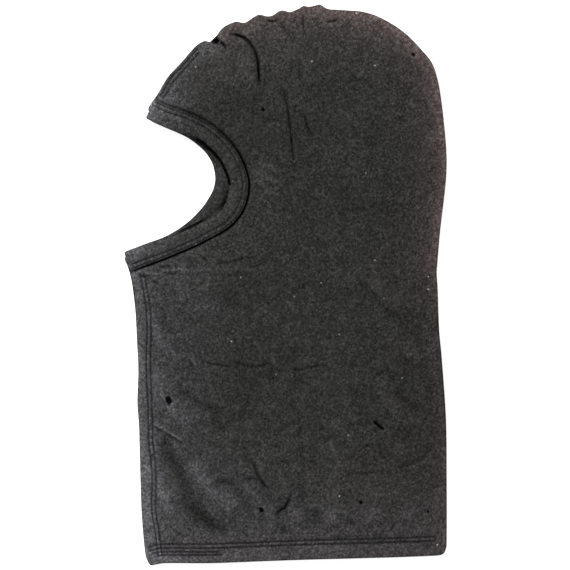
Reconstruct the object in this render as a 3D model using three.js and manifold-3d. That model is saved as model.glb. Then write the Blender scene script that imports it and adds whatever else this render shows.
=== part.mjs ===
// An open-face balaclava, cut and sewn from jersey knit, lying flat on its right side.
// Millimetres, +Z up. +Y runs from the neck to the crown and -X is the wearer's front.
// Every piece is cut with a flat pattern from a ply of cloth that follows the lie of the hood,
// so neighbouring plies keep the same clearance wherever the hood rises or falls.
import * as THREE from "three";
import { mergeVertices } from "three/addons/utils/BufferGeometryUtils.js";
import Module from "manifold-3d";

const wasm = await Module();
wasm.setup();

// ---- Driving dimensions ----

const panelThickness = 1.0;
const bindingThickness = 0.8;
const threadThickness = 0.4;
const threadWidth = 0.9;
const clearance = 0.3; // between any two pieces that touch

const bindingWidth = 14.6; // the folded strip round the face
const bindingFold = 0.9; // the strip's rounded turn, at the face edge
const hemDepth = 15.8; // cloth turned up inside the neck edge
const hemFold = 1.2;

const needleGauge = 3.2; // between the two rows of a twin-needle seam
const bindingNeedle = bindingWidth - 1.0; // outer needle row, from the face edge
const hemNeedle = 11.6; // lower needle row, from the neck edge
const overlapNeedle = 6.2; // where the hem's stitching ran over its own start
const frontNeedle = 8.6; // outer needle row, from the front edge
const browNeedle = 2.6; // outer needle row, from the brow edge

const seamRoom = 3.0; // inside height where two panels are sewn together
const loft = 9; // how much further the left panel rises over the hollow
const riseDistance = 60; // how far from a seam the full loft is reached
const openingShare = 0.4; // of that way is left at the face opening, where the cloth sags
const liftHold = 33; // how far a lift above the table keeps its full height
const liftFade = 25; // and how far it then takes to fade away

const allowanceThickness = 2.4; // two raw edges serged together
const frontAllowance = 14; // width of each seam allowance inside
const browAllowance = 8.5;
const crownAllowance = 7;
const overlockWidth = 1.2; // the thread that wraps an allowance's raw edge

const gridCell = 22; // size of the facets that follow the lie of the cloth
const curveStep = 13; // spacing of the points taken along a curve

// ---- The lines of the pattern, seen from above ----

const chinPoint = [-127, 26.5];
const browPoint = [-108.4, 130];
const hairlinePoint = [-64, 192];
const hemFrontPoint = [-105.5, -219.6];
const hemBackPoint = [122, -212];

function spline(...points) {
  const places = points.map(([x, y]) => new THREE.Vector3(x, y, 0));
  return new THREE.CatmullRomCurve3(places, false, "centripetal");
}

// Each line runs so that the cloth lies on its left-hand side.
// The face lines start and end a little outside the hood, where the edges trim them.
const faceLineLeft = spline(
  [-118, 134], browPoint, [-90, 123.6], [-63.3, 110.8], [-45, 87],
  [-47, 66.5], [-66, 51], [-94, 37.8], chinPoint, [-139, 22],
);
const faceLineRight = spline(
  [-118, 134], browPoint, [-90, 123.6], [-68.2, 113.9], [-54.3, 86],
  [-60, 67], [-76, 48.5], [-94, 37.8], chinPoint, [-139, 22],
);
const frontLine = spline(
  chinPoint, [-120, 1], [-116, -50], [-114, -150], [-109.5, -213], hemFrontPoint,
);
const hemLine = spline(hemFrontPoint, [-60, -216.5], [30, -214], hemBackPoint);
const crownLine = spline(
  [127, -204], [126.5, -130], [121.5, -58], [119.3, 5], [121, 36], [126.5, 85], [124, 130],
  [119.3, 163], [107, 185], [83, 206], [51, 216.3], [21, 219.6], [-12, 213.5], [-45, 205.5], [-57, 193],
);
const browLine = spline(hairlinePoint, [-79, 178], [-99.8, 150.5], browPoint);

// The points along a part of a line, moved by an offset into the cloth.
function along(line, offset = 0, start = 0, end = 1) {
  const steps = Math.max(3, Math.round((line.getLength() * (end - start)) / curveStep));
  return Array.from({ length: steps + 1 }, (_, i) => {
    const u = start + ((end - start) * i) / steps;
    const place = line.getPointAt(u);
    const way = line.getTangentAt(u);
    return new THREE.Vector2(place.x - way.y * offset, place.y + way.x * offset);
  });
}

// A strip between two offsets from a line. The trims are the lengths left off at its two ends.
function strip(line, near, far, startTrim = 0, endTrim = 0) {
  const start = startTrim / line.getLength();
  const end = 1 - endTrim / line.getLength();
  return new THREE.Shape([...along(line, near, start, end), ...along(line, far, start, end).reverse()]);
}

function threadStrip(line, offset, startTrim, endTrim) {
  return strip(line, offset - threadWidth / 2, offset + threadWidth / 2, startTrim, endTrim);
}

const silhouette = new THREE.Shape([frontLine, hemLine, crownLine, browLine].flatMap((line) => along(line)));

// ---- The lie of the cloth ----

const seamLines = [along(frontLine), along(crownLine), along(browLine)];
const openingEdge = [along(faceLineLeft)];
const bindingEdge = [along(faceLineLeft, bindingWidth)];

function distanceTo(lines, x, y) {
  const place = new THREE.Vector3(x, y, 0);
  const nearest = new THREE.Vector3();
  const segment = new THREE.Line3();
  let best = Infinity;
  for (const points of lines) {
    for (let i = 1; i < points.length; i++) {
      segment.start.set(points[i - 1].x, points[i - 1].y, 0);
      segment.end.set(points[i].x, points[i].y, 0);
      segment.closestPointToPoint(place, true, nearest);
      best = Math.min(best, nearest.distanceTo(place));
    }
  }
  return best;
}

// The binding and the stitches under the right side hold its cloth off the table there.
const bindingLift = clearance + bindingThickness + clearance + threadThickness;
const hemLift = clearance + threadThickness;

function liftOffTable(x, y) {
  const fromBinding = distanceTo(bindingEdge, x, y);
  const fromHem = y - (hemFrontPoint[1] + hemDepth);
  const nearBinding = 1 - THREE.MathUtils.smoothstep(fromBinding, liftHold, liftHold + liftFade);
  const nearHem = 1 - THREE.MathUtils.smoothstep(fromHem, liftHold, liftHold + liftFade);
  return Math.max(bindingLift * nearBinding, hemLift * nearHem);
}

function insideHeight(x, y) {
  const fromSeam = distanceTo(seamLines, x, y) / riseDistance;
  const fromOpening = distanceTo(openingEdge, x, y) / riseDistance;
  const share = Math.min(1, fromSeam, openingShare + fromOpening);
  return seamRoom + loft * Math.sin((Math.PI / 2) * share);
}

// Each side's datum is the inner face of its panel, and depths from it run outwards.
const right = {
  outward: -1,
  datum: (x, y) => liftOffTable(x, y) + panelThickness,
};
const left = {
  outward: 1,
  datum: (x, y) => right.datum(x, y) + insideHeight(x, y),
};

// ---- Cutting pieces from a ply ----

function toSolid(geometry) {
  const bare = geometry.clone();
  bare.deleteAttribute("normal");
  bare.deleteAttribute("uv");
  const merged = mergeVertices(bare, 1e-4);
  return new wasm.Manifold(
    new wasm.Mesh({
      numProp: 3,
      vertProperties: merged.attributes.position.array,
      triVerts: new Uint32Array(merged.index.array),
    }),
  );
}

function toGeometry(solid) {
  const mesh = solid.getMesh();
  const geometry = new THREE.BufferGeometry();
  geometry.setAttribute("position", new THREE.BufferAttribute(mesh.vertProperties, 3));
  geometry.setIndex(new THREE.BufferAttribute(mesh.triVerts, 1));
  geometry.computeVertexNormals();
  return geometry;
}

const columns = 13; // of facets in a ply
const rows = 22;
const flatPly = new THREE.PlaneGeometry(columns * gridCell, rows * gridCell, columns, rows);

// A closed slab between two depths on one side, larger than any pattern.
function ply(side, inner, outer) {
  const [low, high] = side.outward > 0 ? [inner, outer] : [-outer, -inner];
  const plane = flatPly.attributes.position;
  const count = plane.count;
  const places = new Float32Array(count * 6);
  for (let i = 0; i < count; i++) {
    const x = plane.getX(i);
    const y = plane.getY(i);
    const datum = side.datum(x, y);
    places.set([x, y, datum + high], i * 3);
    places.set([x, y, datum + low], (count + i) * 3);
  }
  const top = Array.from(flatPly.index.array);
  const bottom = top.map((_, i) => count + top[3 * Math.floor(i / 3) + 2 - (i % 3)]);
  const rim = [];
  for (let i = 0; i < columns; i++) rim.push(i);
  for (let j = 0; j < rows; j++) rim.push(j * (columns + 1) + columns);
  for (let i = columns; i > 0; i--) rim.push(rows * (columns + 1) + i);
  for (let j = rows; j > 0; j--) rim.push(j * (columns + 1));
  const walls = rim.flatMap((a, i) => {
    const b = rim[(i + 1) % rim.length];
    return [a, b, count + a, b, count + b, count + a];
  });
  const geometry = new THREE.BufferGeometry();
  geometry.setAttribute("position", new THREE.BufferAttribute(places, 3));
  geometry.setIndex([...top, ...bottom, ...walls]);
  return toSolid(geometry);
}

const cutterHeight = 60;

function prism(pattern) {
  const geometry = new THREE.ExtrudeGeometry(pattern, { depth: cutterHeight, bevelEnabled: false });
  geometry.translate(0, 0, -cutterHeight / 3);
  return toSolid(geometry);
}

const silhouettePrism = prism(silhouette);

// The part of a ply inside a pattern, trimmed by the edges of the hood.
function cut(pattern, side, inner, outer) {
  return ply(side, inner, outer).intersect(prism(pattern)).intersect(silhouettePrism);
}

// ---- Materials ----

const jersey = new THREE.MeshStandardMaterial({ color: 0x3c3a39, roughness: 0.95, metalness: 0 });
const bindingJersey = new THREE.MeshStandardMaterial({ color: 0x363534, roughness: 0.95, metalness: 0 });
const thread = new THREE.MeshStandardMaterial({ color: 0x1f1e1f, roughness: 0.8, metalness: 0 });

const balaclava = new THREE.Group();

function add(name, solid, material) {
  const mesh = new THREE.Mesh(toGeometry(solid), material.clone());
  mesh.name = name;
  balaclava.add(mesh);
}

// ---- Side panels, each with its neck edge turned up inside as a hem ----

function sidePanel(side, faceLine) {
  const turnedUp = -clearance - panelThickness;
  const faceHole = new THREE.Shape(along(faceLine, bindingFold + clearance));
  const cloth = ply(side, 0, panelThickness).intersect(silhouettePrism).subtract(prism(faceHole));
  const fold = cut(strip(hemLine, 0, hemFold), side, turnedUp, panelThickness);
  const hem = cut(strip(hemLine, 0, hemDepth), side, turnedUp, -clearance);
  return cloth.add(fold).add(hem);
}

add("left_side_panel", sidePanel(left, faceLineLeft), jersey);
add("right_side_panel", sidePanel(right, faceLineRight), jersey);

// ---- Face binding: a strip folded over the raw face edge of each panel ----

const bindingOutside = panelThickness + clearance + bindingThickness;
const bindingInside = -clearance - bindingThickness;

function binding(side, faceLine) {
  const outerPly = cut(strip(faceLine, 0, bindingWidth), side, panelThickness + clearance, bindingOutside);
  const innerPly = cut(strip(faceLine, 0, bindingWidth), side, bindingInside, -clearance);
  const fold = cut(strip(faceLine, 0, bindingFold), side, bindingInside, bindingOutside);
  return outerPly.add(fold).add(innerPly);
}

add("left_face_binding", binding(left, faceLineLeft), bindingJersey);
add("right_face_binding", binding(right, faceLineRight), bindingJersey);

// ---- Stitch rows, each a flat line of thread on the face that it was sewn from ----

function threadOn(side, surface, pattern) {
  const inner = surface + clearance;
  return cut(pattern, side, inner, inner + threadThickness);
}

function threadUnder(side, surface, pattern) {
  const outer = surface - clearance;
  return cut(pattern, side, outer - threadThickness, outer);
}

const faceEndTrim = 14; // from a face line's end outside the hood
const looperTrim = 30; // loopers stop where the two sides close up
const sides = [
  ["left", left, faceLineLeft],
  ["right", right, faceLineRight],
];
for (const [name, side, faceLine] of sides) {
  const outerRow = threadStrip(faceLine, bindingNeedle, faceEndTrim, faceEndTrim);
  const innerRow = threadStrip(faceLine, bindingNeedle - needleGauge, faceEndTrim, faceEndTrim);
  const looper = strip(faceLine, bindingNeedle - needleGauge, bindingNeedle, looperTrim, looperTrim);
  add(`${name}_binding_outer_stitch_row`, threadOn(side, bindingOutside, outerRow), thread);
  add(`${name}_binding_inner_stitch_row`, threadOn(side, bindingOutside, innerRow), thread);
  add(`${name}_binding_looper_thread`, threadUnder(side, bindingInside, looper), thread);
}

const hemFrontTrim = 6;
const hemBackTrim = 4;
const hemInside = -clearance - panelThickness;
for (const [name, side] of sides) {
  const lowerRow = threadStrip(hemLine, hemNeedle, hemFrontTrim, hemBackTrim);
  const upperRow = threadStrip(hemLine, hemNeedle + needleGauge, hemFrontTrim, hemBackTrim);
  const looper = strip(hemLine, hemNeedle, hemNeedle + needleGauge, looperTrim, looperTrim);
  add(`${name}_hem_lower_stitch_row`, threadOn(side, panelThickness, lowerRow), thread);
  add(`${name}_hem_upper_stitch_row`, threadOn(side, panelThickness, upperRow), thread);
  add(`${name}_hem_looper_thread`, threadUnder(side, hemInside, looper), thread);
}

// The hem's stitching closes its ring by running over its own start, a little lower.
const overlapGauge = needleGauge - 0.7;
const overlapEndTrim = 172;
["lower", "upper"].forEach((name, i) => {
  const row = threadStrip(hemLine, overlapNeedle + i * overlapGauge, hemFrontTrim, overlapEndTrim);
  add(`hem_overlap_${name}_stitch_row`, threadOn(left, panelThickness, row), thread);
});

// A short run across the binding closes its two ends into one ring.
const joinAt = 95; // along the left face line
const joinGap = 2; // from the binding's fold and from its inner row
const joinRun = strip(
  faceLineLeft, joinGap, bindingNeedle - needleGauge - joinGap,
  joinAt, faceLineLeft.getLength() - joinAt - threadWidth,
);
add("binding_join_stitch", threadOn(left, bindingOutside, joinRun), thread);

// ---- Seams: serged allowances inside, and the rows that hold them down outside ----

function seam(name, line, width, needle, startTrim, endTrim) {
  const allowance = strip(line, clearance, width, startTrim, endTrim);
  const outside = -clearance;
  add(`${name}_seam_allowance`, cut(allowance, left, outside - allowanceThickness, outside), jersey);
  const overlock = strip(line, width + clearance, width + clearance + overlockWidth, startTrim, endTrim);
  add(`${name}_seam_overlock_thread`, cut(overlock, left, outside - allowanceThickness, outside), thread);
  if (!needle) return;
  ["outer", "inner"].forEach((row, i) => {
    const run = threadStrip(line, needle + i * needleGauge, startTrim, endTrim);
    add(`${name}_seam_${row}_stitch_row`, threadOn(left, panelThickness, run), thread);
  });
}

const bindingTrim = bindingWidth + 4; // seams stop where the binding covers them
const hemTrim = hemDepth + 3; // and where the hem does
const hairlineTrim = 5;
seam("front", frontLine, frontAllowance, frontNeedle, bindingTrim, hemTrim);
seam("brow", browLine, browAllowance, browNeedle, hairlineTrim, bindingTrim);
seam("crown", crownLine, crownAllowance, 0, hemTrim, hairlineTrim + crownAllowance);

export default balaclava;
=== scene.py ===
# A charcoal jersey balaclava, laid flat on its right side on a pale table and seen from above.
import math

import bpy
import numpy as np
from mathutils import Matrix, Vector, kdtree, noise
from mathutils.geometry import delaunay_2d_cdt


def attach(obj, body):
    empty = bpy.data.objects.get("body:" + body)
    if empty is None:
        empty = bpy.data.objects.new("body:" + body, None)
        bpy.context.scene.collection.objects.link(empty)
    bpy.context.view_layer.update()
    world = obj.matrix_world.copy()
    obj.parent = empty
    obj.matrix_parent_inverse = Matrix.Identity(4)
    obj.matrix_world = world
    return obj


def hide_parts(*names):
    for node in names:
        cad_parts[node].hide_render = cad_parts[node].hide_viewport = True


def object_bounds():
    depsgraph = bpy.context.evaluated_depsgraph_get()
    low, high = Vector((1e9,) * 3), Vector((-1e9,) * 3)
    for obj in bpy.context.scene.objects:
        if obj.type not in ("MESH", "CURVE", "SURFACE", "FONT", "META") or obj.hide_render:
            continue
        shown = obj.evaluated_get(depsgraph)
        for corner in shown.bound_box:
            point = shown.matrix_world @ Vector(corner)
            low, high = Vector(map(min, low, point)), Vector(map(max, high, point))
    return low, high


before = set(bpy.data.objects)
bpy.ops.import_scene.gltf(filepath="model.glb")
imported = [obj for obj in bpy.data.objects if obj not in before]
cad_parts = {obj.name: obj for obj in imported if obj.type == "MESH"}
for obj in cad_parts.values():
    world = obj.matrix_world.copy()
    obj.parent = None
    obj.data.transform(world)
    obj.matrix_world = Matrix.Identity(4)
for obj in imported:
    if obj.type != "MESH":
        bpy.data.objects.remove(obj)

frame_low, frame_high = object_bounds()
bpy.ops.object.select_all(action="DESELECT")


# ---- Camera ----
# It looks straight down from two metres with a long lens, so the hood shows nearly in plan,
# and the view takes in the hood's whole length with very little to spare.
view_width = 0.4446
camera_height = 2.0
bpy.ops.object.camera_add(location=(0, 0, camera_height), rotation=(0, 0, 0))
camera = bpy.context.object
camera.data.sensor_width = 36
camera.data.lens = camera.data.sensor_width * (camera_height - frame_high.z) / view_width
bpy.context.scene.camera = camera


# ---- Table and light ----
# A light table of white acrylic, glowing a little from below, with a strong softbox beyond the
# crown on the left, a weaker one on the right, and white walls all round.
def linear(hex_colour):
    """An sRGB hex colour as the linear RGBA that a shader socket holds."""
    channels = [int(hex_colour[i : i + 2], 16) / 255 for i in (1, 3, 5)]
    return [c / 12.92 if c <= 0.04045 else ((c + 0.055) / 1.055) ** 2.4 for c in channels] + [1]


def add_node(material, kind, settings=(), links=()):
    """Adds a shader node, sets its properties or input sockets, and links its inputs to outputs."""
    made = material.node_tree.nodes.new(kind)
    for key, value in dict(settings).items():
        if isinstance(key, int) or key in made.inputs:
            made.inputs[key].default_value = value
        else:
            setattr(made, key, value)
    for key, output in dict(links).items():
        material.node_tree.links.new(output, made.inputs[key])
    return made


def new_material(name):
    """A material whose node tree is still empty."""
    material = bpy.data.materials.new(name)
    material.use_nodes = True
    material.node_tree.nodes.clear()
    return material


table_drop = 0.0004  # the table lies this far under the hood's lowest threads
bpy.ops.mesh.primitive_plane_add(size=6, location=(0, 0, frame_low.z - table_drop))
table = bpy.context.object
table.name = "table"

# Cast acrylic, sanded and lit from below: even and milky, with no clear reflection.
acrylic = new_material("sanded_white_acrylic")
acrylic_glow = 0.75
acrylic_shader = add_node(
    acrylic, "ShaderNodeBsdfPrincipled",
    {
        "Base Color": linear("#F4F4F3"), "Roughness": 0.6,
        "Emission Color": (1, 1, 1, 1), "Emission Strength": acrylic_glow,
    },
)
add_node(acrylic, "ShaderNodeOutputMaterial", links={"Surface": acrylic_shader.outputs[0]})
table.data.materials.append(acrylic)


def add_lamp(name, place, size, power):
    """A square softbox that faces the hood."""
    bpy.ops.object.light_add(type="AREA", location=place)
    lamp = bpy.context.object
    lamp.name = name
    lamp.data.size = size
    lamp.data.energy = power
    lamp.rotation_euler = Vector(place).to_track_quat("Z", "Y").to_euler()


add_lamp("key_softbox", (-1.0, 1.4, 1.15), 0.8, 52)
add_lamp("fill_softbox", (1.5, -0.4, 1.5), 1.4, 7)
world = bpy.data.worlds.new("white_walls")
world.use_nodes = True
world.node_tree.nodes["Background"].inputs["Color"].default_value = (1, 1, 1, 1)
world.node_tree.nodes["Background"].inputs["Strength"].default_value = 0.27
bpy.context.scene.world = world
bpy.context.scene.view_settings.view_transform = "Standard"


# ---- Side panels ----
# Two mirror-image panels of charcoal cotton jersey, 1 mm thick, cut to one outline and sewn
# together down the front, over the brow and from the crown down the back. The left one lies
# uppermost over the hollow, and each one's neck edge is turned up inside as a hem.

MM = 0.001  # sizes are in millimetres from here on, and are made metres as a mesh is written
cloth_thickness = 1.0
edge_roll = 1.3  # radius of the turn where the cloth goes over a seam or the hem
needle_gauge = 3.2  # between the two rows of a twin-needle seam

# The cut edges, in order round the panel, with the cloth on the left-hand side of each.
front_edge = [
    (-125.4, 22), (-123.6, 15), (-121.2, 7), (-119.4, -3), (-117.3, -22), (-116.2, -45), (-115.2, -67),
    (-115.9, -92), (-114.6, -112), (-113.6, -150), (-112.6, -178), (-111, -199), (-109.4, -212),
    (-107.4, -217.4),
]
neck_edge = [
    (-105.3, -219.9), (-101.5, -219.3), (-92, -217.9), (-60, -217.4), (-35, -216.6), (6, -215),
    (68, -213.3), (112, -212.4), (120.5, -212.1), (124.2, -210.9),
]
back_edge = [
    (126.2, -207), (126.9, -198), (126.9, -150), (126.4, -106), (123.2, -59), (121, -35), (119.9, -4),
    (119.1, 9), (119.8, 19), (122, 44), (125, 69), (126.7, 88), (126.6, 106.5), (124.4, 131),
    (122, 150), (119.5, 162.6),
]
crown_edge = [
    (115, 175), (106, 186), (96.3, 196), (87, 203), (77.6, 208.6), (69, 212.4), (59, 214.9),
    (49.5, 215.6), (41, 216.2), (35, 216.5), (31.2, 217.8), (27.4, 220.2), (22.4, 219.1),
    (18.2, 218.5), (14.6, 219.1), (11.8, 217.6), (8, 215.7), (3.5, 214.3), (-0.9, 215.5),
    (-4.9, 214.9), (-9.2, 211.9), (-13.7, 210.9), (-20, 212.3), (-24.3, 210.5), (-29.9, 206.7),
    (-33, 205.8), (-38.3, 206.7), (-43.5, 205), (-48.6, 202.1), (-52.2, 197.9),
]
hairline_notch = [(-53, 194.4), (-51.6, 190.6), (-55, 189.6)]
brow_edge = [
    (-59.5, 190.9), (-63.8, 191.4), (-70.6, 187), (-81, 175), (-92, 163), (-99.4, 150.5), (-104, 144),
    (-107, 136.5),
]
face_edge_left = [
    (-107.6, 131), (-97, 125.8), (-81, 120), (-67.8, 113.5), (-58.9, 106.5), (-51.9, 98.7),
    (-46.9, 90), (-43.9, 81), (-43.7, 75), (-45, 69), (-48, 62.8), (-53.6, 56.8), (-62, 52),
    (-73.5, 46), (-83, 41.7), (-100, 34.6), (-114, 29.6), (-126, 25),
]
face_edge_right = [
    (-107.6, 131), (-97, 125.8), (-81, 119), (-67.5, 110.4), (-58.3, 99.6), (-54.2, 88), (-54.6, 78),
    (-58.6, 69), (-65.5, 59), (-76.5, 48.2), (-91, 38.6), (-102, 33.6), (-114, 29.6), (-126, 25),
]


def run_along(line):
    """How far along a polyline each of its points is."""
    return np.concatenate([[0], np.cumsum(np.hypot(*np.diff(line, axis=0).T))])


def evenly(line, spacing):
    """The same polyline with its points evenly spaced."""
    run = run_along(line)
    places = np.linspace(0, run[-1], max(2, round(run[-1] / spacing)) + 1)
    return np.column_stack([np.interp(places, run, line[:, k]) for k in range(line.shape[1])])


line_gap = 1.5  # between the points of a smooth line


def smooth_line(points, spacing=line_gap, closed=False):
    """Even points on a smooth curve through the given ones."""
    p = np.array(points, float)
    ends = (p[-2], p[1]) if closed else (2 * p[0] - p[1], 2 * p[-1] - p[-2])
    p = np.vstack([ends[0], p, ends[1]])
    t = np.linspace(0, 1, 16, endpoint=False)[:, None]
    spans = [
        (2 * b + (c - a) * t + (2 * a - 5 * b + 4 * c - d) * t**2 + (3 * b - a - 3 * c + d) * t**3) / 2
        for a, b, c, d in zip(p, p[1:], p[2:], p[3:])
    ]
    return evenly(np.vstack(spans + [p[-2:-1]]), spacing)


def leftward(line):
    """The unit normal at each point of a line, to the left of its direction."""
    way = np.gradient(line, axis=0)
    way /= np.hypot(*way.T)[:, None]
    return np.column_stack([-way[:, 1], way[:, 0]])


def beside(line, offset):
    """A line moved to its left."""
    return line + leftward(line) * offset


def nearest(places, line):
    """For each place: its distance to a line, on which side it is (1 is left), and how far along."""
    tree = kdtree.KDTree(len(line))
    for i, (x, y) in enumerate(line):
        tree.insert((x, y, 0), i)
    tree.balance()
    closest = np.array([tree.find((x, y, 0))[1] for x, y in places], int)
    run = run_along(line)
    distance, side, along = np.full(len(places), np.inf), np.ones(len(places)), np.zeros(len(places))
    for first in (np.maximum(closest - 1, 0), np.minimum(closest, len(line) - 2)):
        way = line[first + 1] - line[first]
        length = np.hypot(*way.T)
        off = places - line[first]
        t = np.clip((off * way).sum(axis=1) / length**2, 0, 1)
        off = off - t[:, None] * way
        far = np.hypot(*off.T)
        closer = far < distance
        distance = np.where(closer, far, distance)
        turn = way[:, 0] * off[:, 1] - way[:, 1] * off[:, 0]
        side = np.where(closer, np.where(turn < 0, -1, 1), side)
        along = np.where(closer, run[first] + t * length, along)
    return distance, side, along


def smoothstep(value, start, end):
    """0 before start, 1 past end, and a smooth rise from one to the other."""
    t = np.clip((value - start) / (end - start), 0, 1)
    return t * t * (3 - 2 * t)


def bell(offset, width):
    """1 at no offset, and smoothly down to nothing at about twice the width."""
    return np.exp(-((offset / width) ** 2))


front_line = smooth_line(front_edge)
neck_line = smooth_line([front_edge[-1]] + neck_edge)
back_line = smooth_line([neck_edge[-1]] + back_edge + crown_edge)
brow_line = smooth_line(brow_edge)
face_line = {"left": smooth_line(face_edge_left), "right": smooth_line(face_edge_right)}
seam_lines = [front_line, back_line, brow_line]

# How the panels lie. The heights agree with the frame's panels: both sides meet at the seams, and
# the left one rises over the hollow and sags at the face opening, where it comes a few millimetres
# lower than the frame's. The threads under the binding and the hem hold the right one up.
seam_top = 5.3  # height of the left panel's outer face at a seam
loft = 9  # how much higher it lies over the middle of the hollow
rise_distance = 60  # from a seam to the full height
opening_share = 0.12  # of the way up is left at the face opening
binding_width = 14.8
binding_lift = 1.8
hem_lift = 0.7
hem_depth = 15.8


def lift_off_table(places):
    """How high the threads under the binding and the hem hold the cloth near them."""
    from_binding = nearest(places, beside(face_line["left"], binding_width))[0]
    from_hem = places[:, 1] - (neck_line[:, 1].min() + hem_depth)
    near_binding = 1 - smoothstep(from_binding, 30, 62)
    near_hem = 1 - smoothstep(from_hem, 20, 58)
    return np.maximum(binding_lift * near_binding, hem_lift * near_hem)


def lie(places, side):
    """The height of a panel's outer face, before its creases."""
    lift = lift_off_table(places)
    if side == "right":
        return lift
    from_seam = np.min([nearest(places, line)[0] for line in seam_lines], axis=0)
    from_opening = nearest(places, face_line["left"])[0] + opening_share * rise_distance
    share = np.clip(np.minimum(from_seam, from_opening) / rise_distance, 0, 1)
    return lift + seam_top + loft * np.sin(math.pi / 2 * share)


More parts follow.
